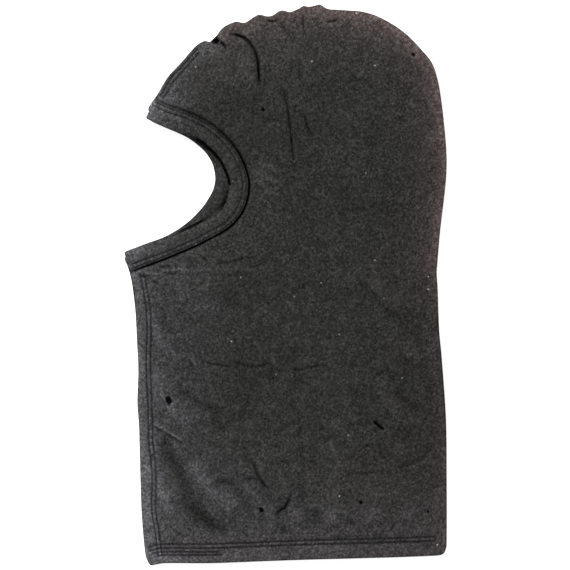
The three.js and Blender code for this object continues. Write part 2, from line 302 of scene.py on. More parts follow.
# Creases in the left panel, each with how deep it is (negative for a ridge), how wide, how high the
# cloth on its left stands over it, how dark the shade painted into it is (1 is nearly black), and
# where it runs.
creases = {
    "crown_fold": (2.6, 1.1, 1.5, 0.85, [
        (-45.3, 198), (-40.2, 196.1), (-33.8, 194.4), (-28, 190), (-23.6, 183.5), (-21, 175.6),
        (-20.4, 166.8), (-19.6, 158.2), (-18.6, 153.8),
    ]),
    "temple_fold": (1.5, 1.0, 0.8, 0.36, [
        (-5.5, 156.7), (-1.9, 153.8), (1, 145.2), (3.2, 135), (3.9, 126.3), (5.4, 114.7), (6.1, 106),
        (7.5, 96), (10.5, 87),
    ]),
    "temple_crease": (1.1, 0.9, 0.4, 0.75, [(13.3, 136.4), (16.2, 129.2), (18.3, 122), (22, 113.3)]),
    "temple_nick": (0.8, 0.9, 0.2, 0.75, [(9, 143), (7.4, 132)]),
    "notch_crease": (2.2, 1.2, 0.6, 1, [(-60, 194.5), (-51.9, 190.7), (-47.3, 187.6), (-45, 181.5)]),
    "crown_pucker_a": (0.8, 0.9, 0.2, 0.6, [(14, 216), (14.7, 197.3)]),
    "crown_pucker_b": (1.2, 0.9, 0.5, 0.75, [(-17.1, 207.4), (-8.4, 206.7), (-4.1, 209.6)]),
    "crown_pucker_c": (0.9, 0.9, 0.4, 0.4, [(-5.5, 207.4), (0.3, 200.1), (6.1, 190.8)]),
    "crown_pucker_d": (0.9, 0.9, 0.4, 0.45, [(30.7, 205.2), (37.8, 206.7), (43.8, 208.2)]),
    "crown_pucker_e": (0.8, 0.9, 0.3, 0.3, [(9, 209.6), (6.1, 204.5)]),
    "crown_pucker_f": (0.8, 0.9, 0.3, 0.35, [(66.9, 206.7), (77, 200.1)]),
    "eye_crease_a": (0.5, 0.9, 0.3, 0.3, [(-24.3, 98), (-20, 98.7)]),
    "eye_crease_b": (0.5, 0.9, 0.3, 0.3, [(-20, 95.2), (-12.8, 94.5)]),
    "eye_crease_c": (0.7, 1, 0.3, 0.3, [(-8.4, 101.7), (-0.5, 89.4)]),
    "ear_nick": (0.5, 0.9, 0.1, 0.3, [(49.5, 103.1), (48, 94.5)]),
    "nape_arc": (0.7, 1.3, 0.4, 0.2, [(107.5, 129.2), (117.6, 120.5), (119, 112)]),
    "nape_arc_low": (0.5, 1, 0.2, 0.2, [(108.8, 74.2), (112.6, 61.2)]),
    "chin_ridge": (-0.7, 1.0, 0, 0, [
        (-114, 11.9), (-109.7, 9.4), (-99.4, 8.2), (-95.6, 10.1), (-83.4, 11.9), (-67.5, 10.6),
        (-60, 13),
    ]),
    "chin_crease_a": (1.0, 0.9, 0.2, 0.45, [(-114, 9.4), (-111.6, 6.3), (-106, 6.3)]),
    "chin_crease_b": (1.0, 0.9, 0.2, 0.45, [(-105.5, 2.7), (-98, 1.5)]),
    "chin_crease_c": (0.8, 0.9, 0.2, 0.4, [(-92, 7.6), (-83.4, 8.8)]),
    "chin_crease_d": (0.6, 0.9, 0.2, 0.35, [(-99, 14), (-87, 14.6)]),
    "cheek_crease_a": (0.9, 1.1, 0.5, 0.25, [(-77.3, 21.7), (-70, 13)]),
    "cheek_crease_b": (1.1, 1, 0.5, 0.4, [(-67.5, 24), (-57.6, 15)]),
    "cheek_crease_c": (0.7, 1.4, 0.3, 0.3, [
        (-57.6, 16), (-44, 16.8), (-34.4, 19.8), (-25.8, 21), (-18.5, 22.3),
    ]),
    "collar_bend": (0.8, 1.4, 0.4, 0.25, [
        (-110.4, -12.6), (-103, -16.3), (-95.6, -20), (-93, -31), (-90.8, -38.4),
    ]),
    "jaw_crease": (1.0, 0.9, 0.5, 0.5, [(-75.6, -58.4), (-71.4, -65.7)]),
    "jaw_ridge": (-0.8, 1.1, 0, 0, [(-75.6, -54), (-67, -67)]),
    "level_pack_fold_a": (0.8, 1.2, 0.5, 0.2, [
        (-69.8, -57), (-59.7, -62), (-48, -63.6), (-39.4, -65.7),
    ]),
    "level_pack_fold_b": (0.8, 1.2, 0.5, 0.22, [
        (-42.5, -58.4), (-33.6, -62.8), (-22, -64.3), (-13, -62), (-4.6, -68.6),
    ]),
    "level_pack_fold_c": (0.7, 1.2, 0.3, 0.2, [(0, -64), (5.5, -67.2), (16, -66), (31.6, -62.8)]),
    "upright_pack_fold_top": (0.3, 1.2, 0.05, 0.12, [(12, 190), (12.6, 160), (13, 126)]),
    "upright_pack_fold_mid": (0.8, 1.4, 0.2, 0.3, [(8.2, -45), (8.2, -67), (9, -88)]),
    "upright_pack_fold_low": (0.6, 1.8, 0.2, 0.2, [(10, -95), (14.2, -135), (14.2, -176)]),
    "belly_crease": (1.6, 3.4, 0.6, 0.26, [
        (-84.6, -81.5), (-73, -90), (-62.8, -95.6), (-52.7, -100), (-52.7, -110), (-41, -116.6),
    ]),
    "throat_ridge": (-1.8, 1.0, 0, 0, [(-107, -107), (-94.5, -113.5), (-77, -123.6)]),
    "throat_ridge_foot": (0.6, 1.0, 0, 0.25, [(-107, -109.6), (-94.5, -116.2), (-77, -126.3)]),
    "collar_fold": (2.6, 5, 1.0, 0.44, [
        (-95, -120), (-91.7, -133.8), (-83, -147), (-77, -159.8), (-73, -174), (-58, -188.8),
        (-41, -197),
    ]),
    "throat_crease": (1.2, 1.1, 0.5, 0.6, [(-25.7, -134), (-22, -147), (-17, -155), (-11.3, -163)]),
    "throat_crease_low": (0.8, 1.3, 0.4, 0.15, [
        (-35, -152.5), (-22, -152.5), (-13.3, -160), (-12, -165.6),
    ]),
    "throat_fold": (1.6, 1.3, 0.6, 0.65, [(5.5, -161), (1.2, -172.8), (-5.4, -178.7), (-3.2, -184.5)]),
    "hem_hollow_a": (1.0, 2.2, 0.2, 0.5, [(-2, -188), (0, -196)]),
    "hem_hollow_b": (1.2, 3.0, 0.4, 0.35, [(24.3, -174), (25.8, -190)]),
    "hem_hollow_c": (1.1, 1.8, 0.4, 0.3, [(47.7, -182.8), (56.6, -190)]),
    "hem_hollow_d": (0.9, 1.4, 0.3, 0.3, [(87.8, -186.3), (81.5, -194.4)]),
    "hem_hollow_e": (1.2, 2.8, 0.5, 0.3, [(-57, -154), (-39.4, -158.4), (-31, -172.8), (-22, -188.8)]),
    "corner_crease": (0.9, 1.0, 0.4, 0.4, [(-90, -189.5), (-77, -199)]),
    "nape_crease_a": (0.9, 2.2, 0.4, 0.22, [
        (56.6, 6.2), (69, -9.8), (81.5, -22.2), (94, -30.3), (99.5, -35.7),
    ]),
    "nape_crease_b": (0.8, 1.4, 0.2, 0.35, [(47.7, -0.9), (53, -12.6)]),
    "nape_crease_c": (0.8, 0.9, 0.4, 0.35, [(77, -59.7), (83.4, -70.6)]),
    "nape_crease_d": (1.0, 2.2, 0.4, 0.3, [(83.4, -81), (92.4, -88.3), (108.3, -102.6)]),
    "nape_crease_e": (0.9, 2.2, 0.4, 0.25, [(88.8, -52.7), (101, -65), (110, -68.7)]),
    "nape_crease_f": (0.7, 1.8, 0.4, 0.18, [
        (119, -123), (108, -136.4), (97.7, -140.8), (88.8, -143.6), (85, -149),
    ]),
    "back_crease": (0.5, 1.8, 0.2, 0.15, [(46, -149), (78, -147)]),
    "middle_dimple_a": (0.8, 2.2, 0, 0.35, [(12.5, -0.5), (17, -5)]),
    "middle_dimple_b": (0.7, 2, 0, 0.25, [(1, -9), (6, -13)]),
}

# Snags and pinholes, where a stitch of the knit has dropped, dented and painted with shade: each a
# short line and its half width.
snags = [
    ([(100.5, 180.8), (101, 180)], 1.3), ([(-17.2, 137.4), (-16.9, 136.6)], 1.2),
    ([(-91.4, -89.2), (-90.6, -91)], 2.3), ([(70.2, -107.2), (76.2, -112.2)], 1.1),
    ([(-18.7, -175.3), (-18.1, -176.2)], 1.7), ([(59.1, -169.8), (59.7, -170.2)], 1.2),
    ([(111.9, -177.1), (112.1, -177.8)], 1.1),
]

# Broad, soft rises and hollows: a line, the height (negative for a hollow) and the half width.
# They come from chest to hem, then beside the face opening, on the crown and down the back.
swells = [
    ([(-108, -20), (-100.5, -36), (-94.5, -48.2), (-87, -54.3), (-78, -62)], 1.5, 3.4),
    ([(-100, -66), (-96, -88), (-84, -100), (-66, -112)], 1.4, 6),
    ([(-104, -138), (-98, -160), (-86, -182)], 1.6, 5.5),
    ([(-76, -138), (-62, -154), (-50, -166), (-36, -180)], 2.0, 6),
    ([(-74, -168), (-64, -182), (-50, -193)], -0.9, 7),
    ([(-34, -152), (-19, -170), (-10.5, -183), (-12.8, -198)], 1.1, 2.6),
    ([(8, -174), (13, -188)], 1.4, 5),
    ([(36, -174), (38, -190)], 1.2, 5),
    ([(66, -172), (72, -188)], 0.9, 6),
    ([(98, -170), (98, -190)], 0.9, 6),
    ([(-70, -12), (-60, -18), (-48, -18)], 0.8, 5),
    ([(-28, 92), (-14, 84), (-2, 76)], 1.0, 2),
    ([(-27, 97), (-12, 92), (0, 86)], 0.8, 1.8),
    ([(-28, 84), (-14, 76), (-4, 68)], 0.8, 2),
    ([(-36, 184), (-33, 170), (-32, 155)], 0.5, 5),
    ([(-2, 184), (-4, 168), (-9, 150)], 0.3, 5),
    ([(60, 130), (66, 80), (60, 30)], -0.4, 14),
    ([(34, -40), (44, -90), (36, -150)], 0.3, 10),
    ([(-30, -20), (-36, -60), (-30, -110)], -0.3, 10),
    ([(62, 16), (78, -6), (98, -20)], 0.5, 5),
    ([(78, -36), (96, -52), (112, -60)], 0.5, 5),
    ([(72, -72), (86, -96), (104, -114)], 0.4, 6),
    ([(96, -124), (84, -136)], 0.7, 5),
]


def tapered(along, length):
    """1 along the middle of a line, fading out smoothly over a third of it, or 9 mm, at each end."""
    fade = min(0.35 * length, 9)
    return smoothstep(along, -0.01, fade) * smoothstep(length - along, -0.01, fade)


swell_highlight = 0.23  # painted highlight: this much paler where the cloth swells up a millimetre
ridge_highlight = 0.4  # the same on a sharp ridge
far_bank = 0.35  # how high the bank on a crease's right is, against the one on its left
bank_spread = 4.5  # how wide the banks are, against the crease itself
bank_reach = 14
snag_depth = 0.5


def crease_shape(places):
    """What creases and swells add to the height, the shade painted there, and the highlight painted on
    rises.
    """
    height = np.zeros(len(places))
    painted_relief_light = np.zeros(len(places))
    pressed = np.zeros(len(places))
    for depth, width, lip, shade, points in creases.values():
        line = smooth_line(points)
        low, high = line.min(axis=0) - bank_reach, line.max(axis=0) + bank_reach
        near = np.flatnonzero(np.all((places > low) & (places < high), axis=1))
        distance, side, along = nearest(places[near], line)
        taper = tapered(along, run_along(line)[-1])
        valley = bell(distance, width)
        bank = np.where(side > 0, 1, far_bank) * (1 - valley) * bell(distance, bank_spread * width)
        height[near] += taper * (lip * bank - depth * valley)
        # Shade is painted into the crease.
        pressed[near] = np.maximum(pressed[near], taper * valley * shade)
        # A painted highlight along a ridge.
        painted_relief_light[near] += ridge_highlight * max(0, -depth) * taper * valley
    for points, width in snags:
        distance = nearest(places, smooth_line(points, 0.5))[0]
        mark = 1 - smoothstep(distance, width - 0.5, width + 0.4)
        # Each snag is dented and painted nearly black with shade.
        height -= snag_depth * mark
        pressed = np.maximum(pressed, mark)
    for points, rise, width in swells:
        line = smooth_line(points, 4)
        distance, _, along = nearest(places, line)
        swell = rise * tapered(along, run_along(line)[-1]) * bell(distance, width)
        height += swell
        # A painted highlight on each rise, and painted shade in each hollow.
        painted_relief_light += swell_highlight * swell
    return height, pressed, painted_relief_light


def ripples(places, seed, wavelength):
    """Gentle unevenness of cloth that has been folded away and laid out again."""
    return np.array([noise.noise(Vector((x / wavelength, y / wavelength, seed))) for x, y in places])


# The twin-needle rows, each as a line beside the edge that it follows, and shorter at both ends.
binding_rows = (binding_width - 1.0, binding_width - 1.0 - needle_gauge)
hem_rows = (11.8, 11.8 + needle_gauge)
overlap_rows = (6.4, 8.9)
front_rows = (8.2, 8.2 + needle_gauge)
brow_rows = (2.7, 2.7 + needle_gauge)


def trimmed(line, start, end):
    """A line without the given lengths at its two ends."""
    run = run_along(line)
    return line[(run >= start) & (run <= run[-1] - end)]


def wander(line, amount, wavelength, seed):
    """Moves a row a little from side to side, as a hand-guided seam runs."""
    steps = np.arange(len(line)) * line_gap / wavelength
    shift = [amount * noise.noise(Vector((step, seed, 0))) for step in steps]
    return line + leftward(line) * np.array(shift)[:, None]


front_guide = wander(trimmed(front_line, 16, 3), 4.4, 46, 3.1)
seam_rows = {
    "hem_lower": trimmed(beside(neck_line, hem_rows[0]), 5, 3),
    "hem_upper": trimmed(beside(neck_line, hem_rows[1]), 5, 3),
    "hem_overlap_lower": trimmed(beside(neck_line, overlap_rows[0]), 8, 170),
    "hem_overlap_upper": trimmed(beside(neck_line, overlap_rows[1]), 8, 172),
    "front_seam_outer": beside(front_guide, front_rows[0]),
    "front_seam_inner": beside(front_guide, front_rows[1]),
    "brow_seam_outer": trimmed(beside(brow_line, brow_rows[0]), 8, 14),
    "brow_seam_inner": trimmed(beside(brow_line, brow_rows[1]), 8, 14),
}
right_rows = ("hem_lower", "hem_upper")  # the others are sewn through the left panel only
furrow_depth = 0.55
furrow_width = 0.75
# How dark the shade painted in a stitched furrow is.
furrow_shade = 0.8
broad_ripple, fine_ripple = 0.5, 0.22
sink_depth, sink_width = 1.3, 1.1  # the hollow that the cloth makes beside the binding
swell_rise, swell_width = 0.9, 3.2  # and the rise beyond it

# How dark the shade painted in the hollow is on its way round from the brow, darkest at the cheek.
sink_stops = (0, 45, 72, 150, 175, 195)
sink_shades = (0.4, 0.55, 1.25, 1.25, 0.9, 0.4)


def outer_face(places, side):
    """The height of a panel's outer face in full, and the shade painted on it."""
    height = lie(places, side)
    pressed = np.zeros(len(places))
    if side == "left":
        creased, pressed, _ = crease_shape(places)
        rippled = broad_ripple * ripples(places, 2.0, 34) + fine_ripple * ripples(places, 5.0, 11)
        height += creased + rippled
    out = 1 if side == "left" else -1

    # Stitching draws the cloth down into a furrow, with shade painted in it.
    for name, row in seam_rows.items():
        if side == "left" or name in right_rows:
            furrow = bell(nearest(places, row)[0], furrow_width)
            height -= out * furrow_depth * furrow
            pressed = np.maximum(pressed, furrow_shade * furrow)

    # The cloth sinks beside the binding, with shade painted there, and swells a little before it settles.
    from_edge, within, along = nearest(places, face_line[side])
    past_binding = from_edge * within - binding_width
    sink = bell(past_binding - 0.8, sink_width)
    swell = bell(past_binding - 4.2, swell_width)
    height += out * (swell_rise * swell - sink_depth * sink)
    shade = np.interp(along, sink_stops, sink_shades)
    pressed = np.maximum(pressed, np.minimum(1, sink * shade))
    return height, pressed


def painted_edge_sheen(places):
    """Painted sheen: how much paler the cloth is painted, and how warm its tint: most at its edges."""
    x, y = places.T
    from_front = np.minimum(nearest(places, front_line)[0], nearest(places, brow_line)[0])
    from_back = nearest(places, back_line)[0]
    from_neck = nearest(places, neck_line)[0]

    # The front edge is painted paler the lower it is, and so is the cloth beside it.
    front = (0.3 + 0.45 * smoothstep(-y, -60, 200)) * bell(from_front, 11)
    front += 0.3 * smoothstep(-y, -120, 0) * np.exp(-from_front / 60)
    front += 0.7 * bell(np.hypot(x + 107, y - 131), 26)  # the point of the brow
    front += 0.3 * bell(np.hypot(x + 122, y - 26), 20)  # the point of the chin

    # The back edge is painted paler above the nape, and most at the right.
    back = 0.66 * np.exp(-from_back / 17) + 0.5 * bell(from_back, 8)
    back *= 0.3 + 0.7 * smoothstep(y, -30, 40)
    back *= 0.45 + 0.4 * smoothstep(x, -30, 80)

    # The neck is painted paler at its edge, a little more at the front, and all over near the hem.
    neck = (0.42 - 0.0006 * (x + 126)) * bell(from_neck, 20) + 0.16 * smoothstep(-y, 90, 190)
    faded = np.clip(front + back + neck, 0, 1)
    warm = np.clip((back + 0.35 * neck) / (front + back + neck + 0.02), 0, 1)
    return faded, warm


def scatter(candidates, spacings, taken):
    """The candidates that are far enough from all taken or kept before them."""
    cell = 2  # side of the squares that places are looked up by
    cells = {}
    kept = []
    for x, y in taken:
        cells.setdefault((int(x // cell), int(y // cell)), []).append((x, y))
    for (x, y), gap in zip(candidates, spacings):
        i, j = int(x // cell), int(y // cell)
        crowded = any(
            (x - u) ** 2 + (y - v) ** 2 < gap * gap
            for a in (i - 1, i, i + 1) for b in (j - 1, j, j + 1) for u, v in cells.get((a, b), ())
        )
        if not crowded:
            cells.setdefault((i, j), []).append((x, y))
            kept.append((x, y))
    return kept


def panel_outline(side):
    """The outline inside the rolled edge, the way out from each point, and where the edge is rolled."""
    lines = [front_edge, neck_edge, back_edge, crown_edge, hairline_notch, brow_edge]
    if side == "right":
        lines.remove(hairline_notch)
    face = face_edge_left if side == "left" else face_edge_right
    points = [p for line in lines for p in line] + face[1:-1]
    p = smooth_line(points + points[:1], 1.3, closed=True)[:-1]
    way = np.roll(p, -1, axis=0) - np.roll(p, 1, axis=0)
    way /= np.hypot(*way.T)[:, None]
    inward = np.column_stack([-way[:, 1], way[:, 0]])
    at_face = nearest(p, face_line[side])[0] < 0.6
    return p + inward * edge_roll, -inward, ~at_face


def staggered_grid(outline, gap):
    """Places all over an outline's box, each row shifted by half a gap against the next."""
    low, high = outline.min(axis=0), outline.max(axis=0)
    rows = []
    for j, y in enumerate(np.arange(low[1], high[1], gap * 0.87)):
        x = np.arange(low[0] + gap * 0.5 * (j % 2), high[0], gap)
        rows.append(np.column_stack([x, np.full(len(x), y)]))
    return np.vstack(rows)


def inside(places, outline, margin):
    """Which places are within an outline by more than a margin."""
    distance, side, _ = nearest(places, np.vstack([outline, outline[:1]]))
    return distance * side > margin


def square_patch(middle, reach, spacing):
    """Places all over a small square, so that the cloth has points enough to show a snag."""
    steps = np.arange(-reach, reach, spacing)
    return np.array([(middle[0] + u, middle[1] + v) for u in steps for v in steps])


def rows_beside(line, offsets, spacing):
    """Places in rows along a line, so that the cloth has points enough to take a crease there."""
    return np.vstack([beside(evenly(line, spacing), offset) for offset in offsets])


def make_active(piece):
    """Makes a piece the only one that an operator acts on."""
    bpy.ops.object.select_all(action="DESELECT")
    bpy.context.view_layer.objects.active = piece
    piece.select_set(True)


def turn_out(piece):
    """Drops a mesh's loose points, turns its faces outwards and shades it smooth."""
    bpy.ops.object.mode_set(mode="EDIT")
    bpy.ops.mesh.select_all(action="SELECT")
    bpy.ops.mesh.delete_loose(use_verts=True, use_edges=True, use_faces=False)
    bpy.ops.mesh.select_all(action="SELECT")
    bpy.ops.mesh.normals_make_consistent(inside=False)
    bpy.ops.object.mode_set(mode="OBJECT")
    bpy.ops.object.shade_smooth()
    return piece


def new_piece(name, vertices, faces, **attributes):
    """A smooth mesh object from places in millimetres, with a number at each place as an attribute."""
    mesh = bpy.data.meshes.new(name)
    mesh.from_pydata((np.array(vertices) * MM).tolist(), [], faces)
    for label, values in attributes.items():
        mesh.attributes.new(label, "FLOAT", "POINT").data.foreach_set("value", values)
    piece = bpy.data.objects.new(name, mesh)
    bpy.context.collection.objects.link(piece)
    make_active(piece)
    return turn_out(piece)


def painted_rim_shade(places):
    """Painted shade where the edge rolls under: below nape and chin, and in the notch."""
    x, y = places.T
    at_nape = smoothstep(y, -150, -95) * (1 - smoothstep(y, -28, -14)) * (x > 0)
    at_chin = smoothstep(y, -24, -6) * (1 - smoothstep(y, 12, 16)) * (x < 0)
    in_notch = 1 - smoothstep(np.hypot(x + 54, y - 191.5), 2.5, 5)
    edge_gloom = 0.6
    return np.max([edge_gloom * at_nape, edge_gloom * at_chin, in_notch], axis=0)


seam_ply = 2.0  # of cloth turned in at a seam
fine_gap = 0.45  # between two points of the cloth along a crease or a row
bare_rim = 0.7  # no point lies nearer than this to the outline


def lay_panel(name, side, gap):
    """Builds one panel's outer face with its rolled edges, and gives it its thickness inwards."""
    outline, outward, rolled = panel_outline(side)

    # Points lie close along creases, snags, rows and the binding, and wider apart between them.
    beside_binding = binding_width + np.array([-0.6, 0, 0.5, 1, 1.6, 2.4, 3.4])
    across_crease = np.array([-2, -1.1, -0.5, 0, 0.5, 1.1, 2])
    across_snag = np.arange(-1.6, 1.7, 0.4)
    fine = [rows_beside(face_line[side], beside_binding, 1.1)]
    if side == "left":
        fine += [
            rows_beside(smooth_line(points, 0.7), width * across_crease, 0.9)
            for depth, width, lip, shade, points in creases.values()
        ]
        fine += [square_patch(points[0], 3.5, 0.55) for points, width in snags]
        fine += [rows_beside(smooth_line(points, 0.5), across_snag, 0.5) for points, width in snags]
    for row_name, row in seam_rows.items():
        if side == "left" or row_name in right_rows:
            fine.append(rows_beside(row, (-1.2, -0.6, 0, 0.6, 1.2), 1.1))
    fine = np.vstack(fine)
    grid = staggered_grid(outline, gap)
    candidates = np.vstack([fine, grid])
    spacings = np.concatenate([np.full(len(fine), fine_gap), np.full(len(grid), 0.8 * gap)])
    kept = inside(candidates, outline, bare_rim)
    places = np.vstack([outline, scatter(candidates[kept], spacings[kept], outline)])
    n = len(outline)
    ring = [(i, (i + 1) % n) for i in range(n)]
    made = delaunay_2d_cdt([Vector(p) for p in places], ring, [], 1, 1e-6)
    places = np.array([tuple(v) for v in made[0]])
    faces = list(made[2])
    height, pressed = outer_face(places, side)
    out = 1 if side == "left" else -1

    # The turn over each edge, and the cloth turned in behind it: a narrow seam ply, or the hem.
    at_neck = nearest(outline, neck_line)[0] < 2.2
    to_corner = np.minimum(nearest(outline, front_line)[0], nearest(outline, back_line)[0])
    hem_ply = np.clip(0.9 * to_corner, seam_ply, hem_depth - edge_roll)
    turned_in = np.where(at_neck, hem_ply, seam_ply)
    roll_angles = np.radians([22, 45, 68, 90, 112, 135, 158, 180])
    rings = [(math.sin(a), 1 - math.cos(a), 0) for a in roll_angles]
    rings += [(0, 2, share) for share in (0.25, 0.5, 0.75, 1.0)]
    vertices = [np.column_stack([places, height])]
    previous = list(range(n))
    count = len(places)
    for reach, drop, share in rings:
        ring_places = outline + outward * (edge_roll * reach - share * turned_in)[:, None]
        level = height[:n] - out * edge_roll * drop
        if share:
            level += lie(ring_places, side) - lie(outline, side)
        vertices.append(np.column_stack([ring_places, level]))
        current = list(range(count, count + n))
        for i, k in ring:
            if rolled[i] and rolled[k]:
                faces.append([previous[i], current[i], current[k], previous[k]])
        previous = current
        count += n
    if side == "right":
        faces = [face[::-1] for face in faces]
    vertices = np.vstack(vertices)
    # Painted sheen: paler and tinted towards the edges, with the painted highlight of the rises on the
    # left.
    faded, warm = painted_edge_sheen(vertices[:, :2])
    if side == "left":
        _, _, painted_relief_light = crease_shape(vertices[:, :2])
        faded = np.clip(faded + painted_relief_light, 0, 1)
    # The rolled rim carries the painted shade where it turns under.
    pressed = np.concatenate([pressed, np.tile(painted_rim_shade(outline), len(rings))])

    panel = new_piece(name, vertices, faces, pressed=pressed, faded=faded, warm=warm)
    solidify = panel.modifiers.new("thickness", "SOLIDIFY")
    solidify.thickness = cloth_thickness * MM
    solidify.offset = -1
    bpy.ops.object.modifier_apply(modifier="thickness")
    return panel


left_panel = lay_panel("left_side_panel_cloth", "left", 2.15)
right_panel = lay_panel("right_side_panel_cloth", "right", 2.8)


mean_shade = -2.05  # takes off the mottle's mean, so that the dye keeps its own lightness
tuft_size, nap_size, blot_size, cloud_size = 1.2, 2.2, 11, 30
lint_gap = 7  # between two places where a speck can be
spot_core, spot_rim = 0.08, 0.13  # a speck's radius, as a share of that gap
wale_gap = 0.9  # between two wales, the knit's upright columns of loops
wave_turn = math.pi / 10  # a wave texture of scale 1 repeats at this distance


def knitted_jersey(name, deep, cool, warm):
    """Brushed cotton jersey, piece-dyed: matte, with a fine mottled nap, and painted shade and sheen.

    deep is the dye's own colour, cool and warm the bluish and brownish ones of the painted sheen.
    """
    material = new_material(name)
    place = add_node(material, "ShaderNodeTexCoord").outputs["Object"]
    pressed, faded, warmed = [
        add_node(material, "ShaderNodeAttribute", {"attribute_name": label}).outputs["Fac"]
        for label in ("pressed", "faded", "warm")
    ]

    # Dark and pale tufts of fibre, a nap that lies this way and that, and blots and clouds of wear.
    # Real fibres are far finer: the tufts and the nap are drawn this coarse so that they show.
    exponent = None
    for kind, output, size, weight in (
        ("ShaderNodeTexVoronoi", "Color", tuft_size, 1.3), ("ShaderNodeTexNoise", "Fac", nap_size, 1.7),
        ("ShaderNodeTexNoise", "Fac", blot_size, 0.65), ("ShaderNodeTexNoise", "Fac", cloud_size, 0.35),
    ):
        shade = add_node(material, kind, {"Scale": 1 / (size * MM)}, {"Vector": place}).outputs[output]
        links = {0: shade} if exponent is None else {0: shade, 2: exponent}
        exponent = add_node(
            material, "ShaderNodeMath", {"operation": "MULTIPLY_ADD", 1: weight, 2: mean_shade}, links
        ).outputs[0]
    mottle = add_node(material, "ShaderNodeMath", {"operation": "EXPONENT"}, {0: exponent}).outputs[0]

    # White lint and dark pits, about 1.5 mm wide, each in about one patch of cloth in ten.
    patches = add_node(material, "ShaderNodeTexVoronoi", {"Scale": 1 / (lint_gap * MM)}, {"Vector": place})
    chosen = add_node(material, "ShaderNodeSeparateColor", links={"Color": patches.outputs["Color"]})
    spot = add_node(
        material, "ShaderNodeMapRange",
        {"From Min": spot_core, "From Max": spot_rim, "To Min": 1.0, "To Max": 0.0},
        {"Value": patches.outputs["Distance"]},
    ).outputs[0]
    lightness = mottle
    for channel, share, change in (("Red", 0.08, 4.5), ("Green", 0.12, -0.8)):
        picked = add_node(
            material, "ShaderNodeMath", {"operation": "LESS_THAN", 1: share}, {0: chosen.outputs[channel]}
        ).outputs[0]
        speck = add_node(
            material, "ShaderNodeMath", {"operation": "MULTIPLY"}, {0: picked, 1: spot}
        ).outputs[0]
        factor = add_node(
            material, "ShaderNodeMapRange", {"To Min": 1.0, "To Max": 1.0 + change}, {"Value": speck}
        ).outputs[0]
        lightness = add_node(
            material, "ShaderNodeMath", {"operation": "MULTIPLY"}, {0: lightness, 1: factor}
        ).outputs[0]

    # Painted shade darkens creases, furrows, snags, grooves and shaded rims nearly to black.
    shade_darkening = add_node(
        material, "ShaderNodeMapRange", {"To Min": 1.0, "To Max": 0.05}, {"Value": pressed}
    ).outputs[0]
    lightness = add_node(
        material, "ShaderNodeMath", {"operation": "MULTIPLY"}, {0: lightness, 1: shade_darkening}
    ).outputs[0]

    # The dye from its own colour to the paler, tinted one of the painted sheen.
    pale = add_node(
        material, "ShaderNodeMix", {"data_type": "RGBA", 6: linear(cool), 7: linear(warm)}, {0: warmed}
    ).outputs[2]
    dye = add_node(
        material, "ShaderNodeMix", {"data_type": "RGBA", 6: linear(deep)}, {0: faded, 7: pale}
    ).outputs[2]
    colour = add_node(
        material, "ShaderNodeVectorMath", {"operation": "SCALE"}, {0: dye, "Scale": lightness}
    ).outputs[0]

    # The knit's wales run up the hood under the nap.
    wales = add_node(
        material, "ShaderNodeTexWave", {"Scale": wave_turn / (wale_gap * MM), "Distortion": 1.0},
        {"Vector": place},
    ).outputs["Fac"]
    relief = add_node(
        material, "ShaderNodeMix", {"data_type": "FLOAT", 0: 0.3}, {2: mottle, 3: wales}
    ).outputs[0]
    bump = add_node(
        material, "ShaderNodeBump", {"Strength": 0.5, "Distance": 0.4 * MM}, {"Height": relief}
    )
    shader = add_node(
        material, "ShaderNodeBsdfPrincipled",
        {"Roughness": 1.0, "Specular IOR Level": 0.0},
        {"Base Color": colour, "Normal": bump.outputs[0]},
    )
    add_node(material, "ShaderNodeOutputMaterial", links={"Surface": shader.outputs[0]})
    return material


jersey = knitted_jersey("charcoal_cotton_jersey", "#31312F", "#5E5E62", "#605452")
for panel, cad_node in ((left_panel, "left_side_panel"), (right_panel, "right_side_panel")):
    panel.data.materials.append(jersey)
    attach(panel, "root")
    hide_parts(cad_node)


# ---- Face binding ----
# One strip of the same jersey, its long edges turned under, folded over the raw face edge and
# sewn down with two needle rows. It runs round as a ring: along the left panel, round the front
# fold at the chin, back along the right panel, and round the fold at the brow.

binding_cloth = 0.8  # the folded strip is pressed thinner than the panels
half_panel = cloth_thickness / 2
fold_reach = 1.5  # how far the strip's fold stands out past the panel's raw edge
station_gap = 0.85  # between the sections that the strip is made of
turn_steps = 12  # sections round each fold, at chin and brow
join_run = 85.4  # from the brow to where the strip's two ends meet
join_step = 1.4  # how far the lower end's fold stands out past the upper end's
stitch_length = 2.6
ease = 0.15  # between the panel and the strip round it


def band_height(across, run):
    """The strip's outer face above the middle of the panel inside it."""
    fullness = 0.62 * np.sin(math.pi * np.clip(across / binding_rows[1], 0, 1)) ** 0.7
    ridge = 0.3 * np.sin(math.pi * np.clip((across - binding_rows[1]) / needle_gauge, 0, 1))
    furrows = sum(-0.34 * bell(across - row, 0.55) for row in binding_rows)
    lip = 0.16 * bell(across - binding_width + 0.3, 0.5)
    gather = 0.1 * np.sin(2 * math.pi * run / stitch_length) * bell(across - binding_rows[1] + 1.6, 1.6)
    join = -0.75 * bell(run - join_run, 0.6) * (1 - smoothstep(across, 3.5, 6))
    slack = 0.14 * noise.noise(Vector((run / 6, 1.7, 0)))
    return half_panel + ease + binding_cloth + fullness + ridge + furrows + lip + gather + join + slack


# Places across the strip's face, from its sewn edge to its fold and closest where it bends, and the
# angles of those round the fold.
face_places = np.array([
    14.75, 14.5, 14.15, 13.8, 13.45, 13, 12.2, 11.4, 11, 10.6, 10.2, 9.6, 8.6, 7.4, 6.2, 5, 3.8, 2.7, 1.8,
    1.1, 0.6,
])
fold_turn = np.radians(np.arange(18, 180, 18))


